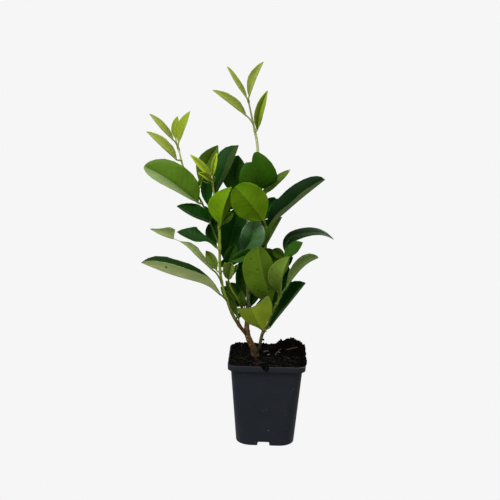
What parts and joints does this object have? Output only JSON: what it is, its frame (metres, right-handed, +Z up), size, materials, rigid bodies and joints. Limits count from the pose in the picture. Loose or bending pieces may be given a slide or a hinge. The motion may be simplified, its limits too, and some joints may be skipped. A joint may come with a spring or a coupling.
{
  "type": "potted cherry laurel",
  "caption": "Young cherry laurel with upright stems, glossy folded leaves and pale new shoots, growing in a square tapered nursery pot of dark compost.",
  "frame": {"origin": "centre of the pot's flat underside, where it stands", "axes": "+Z up along the pot to the tip of the leading shoot; -Y is the side the picture shows; +X to the right of a viewer facing that side; the pot's sides are parallel to X and Y"},
  "size_m": [0.2212, 0.1366, 0.4416],
  "materials": {
    "pot": "matte, lightly scuffed",
    "soil": "rough, crumbly",
    "bark": "rough",
    "stem": "satin",
    "leaf_young": "satin",
    "leaf_mid": "glossy",
    "leaf_dark": "glossy",
    "leaf_bright": "satin",
    "leaf_pale": "satin"
  },
  "bodies": {
    "root": {"pot": "pot", "soil": "soil", "trunk": "bark", "main_stem": "bark", "left_stem": "stem", "right_stem": "stem", "left_twig": "stem", "inner_twig": "stem", "leaf_tip_left": "leaf_young", "leaf_tip_right": "leaf_young", "leaf_tip_low_left": "leaf_young", "leaf_tip_low_right": "leaf_young", "leaf_side_tip_outer": "leaf_young", "leaf_side_tip_low": "leaf_young", "leaf_side_tip_middle": "leaf_young", "leaf_side_tip_inner": "leaf_young", "leaf_middle_tip_left": "leaf_young", "leaf_middle_tip_upright": "leaf_young", "leaf_middle_tip_low": "leaf_young", "leaf_left_broad": "leaf_mid", "leaf_upper_left_rear": "leaf_mid", "leaf_upper_left_folded": "leaf_dark", "leaf_upper_shade": "leaf_dark", "leaf_upper_notched": "leaf_mid", "leaf_upper_right_narrow": "leaf_mid", "leaf_centre_round": "leaf_bright", "leaf_centre_left": "leaf_bright", "leaf_centre_glossy": "leaf_dark", "leaf_centre_shade": "leaf_dark", "leaf_inner_low": "leaf_mid", "leaf_left_upper": "leaf_dark", "leaf_left_middle": "leaf_dark", "leaf_left_bitten": "leaf_pale", "leaf_left_long": "leaf_pale", "leaf_left_stub": "leaf_mid", "leaf_low_left": "leaf_dark", "leaf_low_shade": "leaf_dark", "leaf_front_large": "leaf_bright", "leaf_front_cut": "leaf_bright", "leaf_right_long": "leaf_dark", "leaf_right_inner": "leaf_mid", "leaf_right_arched": "leaf_dark", "leaf_right_green": "leaf_mid", "leaf_right_cupped": "leaf_bright", "leaf_right_outer": "leaf_bright", "leaf_right_low": "leaf_dark", "leaf_right_shade": "leaf_dark", "foliage_back_top": "leaf_dark", "foliage_back_upper": "leaf_dark", "foliage_back_upper_left": "leaf_dark", "foliage_back_upper_right": "leaf_dark", "foliage_back_centre": "leaf_dark", "foliage_back_centre_left": "leaf_dark", "foliage_back_centre_low": "leaf_dark", "foliage_back_lower": "leaf_dark", "foliage_back_low": "leaf_dark", "foliage_back_left": "leaf_dark", "foliage_back_side": "leaf_dark"}
  },
  "joints": []
}
